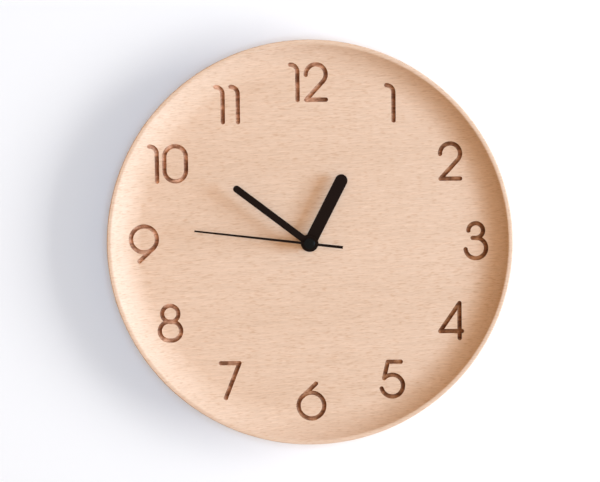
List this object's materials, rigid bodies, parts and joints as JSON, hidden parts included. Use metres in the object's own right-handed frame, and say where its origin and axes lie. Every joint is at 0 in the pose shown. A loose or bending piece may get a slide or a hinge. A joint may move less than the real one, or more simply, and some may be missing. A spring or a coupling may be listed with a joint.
{
  "type": "wall clock",
  "caption": "Round solid wood wall clock with a dished face, carved numerals, black baton hands and a battery quartz movement in a back pocket.",
  "frame": {"origin": "on the axis of the hands, in the plane of the wall that the back lies against", "axes": "+Z points to twelve o'clock, -Y out of the face towards the viewer, +X to three o'clock, +Y into the wall"},
  "size_m": [0.26, 0.0349, 0.26],
  "materials": {
    "beech": "oiled satin, carved grooves scorched brown",
    "hand_black": "matt black lacquer",
    "black_plastic": "moulded satin",
    "white_plastic": "moulded satin",
    "red_plastic": "moulded satin",
    "rubber": "matt",
    "zinc_steel": "zinc plated",
    "motor_steel": "annealed",
    "brass": "turned",
    "magnet": "sintered",
    "copper": "enamelled wire",
    "board": "green laminate",
    "resin": "potting resin",
    "can_metal": "bright",
    "contact_steel": "nickel plated",
    "cell": "plain dark sleeve"
  },
  "bodies": {
    "clock": {"case": "beech", "hanger_plate": "zinc_steel", "hanger_screws": "zinc_steel", "movement_box": "black_plastic", "movement_cover": "black_plastic", "fixing_nut": "hand_black", "rubber_washer": "rubber", "train_bridge": "white_plastic", "bridge_screws": "zinc_steel", "stator": "motor_steel", "coil_core": "motor_steel", "coil_bobbin": "white_plastic", "coil_winding": "copper", "circuit_board": "board", "quartz_can": "can_metal", "chip_dome": "resin", "positive_contact": "contact_steel", "negative_contact": "contact_steel", "aa_cell": "cell"},
    "hour": {"hour_wheel": "white_plastic", "hour_collet": "brass", "hour_hand": "hand_black"},
    "minute": {"minute_tube": "brass", "centre_wheel": "white_plastic", "minute_collet": "brass", "minute_hand": "hand_black"},
    "second": {"second_arbor": "contact_steel", "seconds_wheel": "white_plastic", "second_hand": "hand_black", "second_cap": "hand_black"},
    "third": {"third_wheel": "white_plastic"},
    "fifth": {"fifth_wheel": "white_plastic"},
    "rotor": {"rotor_pinion": "red_plastic", "rotor_magnet": "magnet"},
    "motion": {"motion_wheel": "white_plastic"},
    "knob": {"setting_knob": "white_plastic"}
  },
  "joints": [
    {"name": "hour_turn", "type": "hinge", "parent": "clock", "child": "hour", "pos_m": [0, 0, 0], "axis": [0, 1, 0], "continuous": true},
    {"name": "minute_turn", "type": "hinge", "parent": "clock", "child": "minute", "pos_m": [0, 0, 0], "axis": [0, 1, 0], "continuous": true},
    {"name": "second_turn", "type": "hinge", "parent": "clock", "child": "second", "pos_m": [0, 0, 0], "axis": [0, 1, 0], "continuous": true},
    {"name": "third_turn", "type": "hinge", "parent": "clock", "child": "third", "pos_m": [-0.009, 0, 0], "axis": [0, 1, 0], "continuous": true},
    {"name": "fifth_turn", "type": "hinge", "parent": "clock", "child": "fifth", "pos_m": [0, 0, 0.0092], "axis": [0, 1, 0], "continuous": true},
    {"name": "rotor_turn", "type": "hinge", "parent": "clock", "child": "rotor", "pos_m": [0.0035, 0, 0.01526], "axis": [0, 1, 0], "continuous": true},
    {"name": "motion_turn", "type": "hinge", "parent": "clock", "child": "motion", "pos_m": [0.009, 0, 0], "axis": [0, 1, 0], "continuous": true},
    {"name": "knob_turn", "type": "hinge", "parent": "clock", "child": "knob", "pos_m": [0.018, 0, 0], "axis": [0, 1, 0], "continuous": true}
  ],
  "couplings": [
    {"joint": "minute_turn", "follows": "hour_turn", "ratio": 12},
    {"joint": "second_turn", "follows": "hour_turn", "ratio": 720},
    {"joint": "third_turn", "follows": "hour_turn", "ratio": -90},
    {"joint": "fifth_turn", "follows": "hour_turn", "ratio": -3600},
    {"joint": "rotor_turn", "follows": "hour_turn", "ratio": 21600},
    {"joint": "motion_turn", "follows": "hour_turn", "ratio": -4},
    {"joint": "knob_turn", "follows": "hour_turn", "ratio": 12}
  ]
}
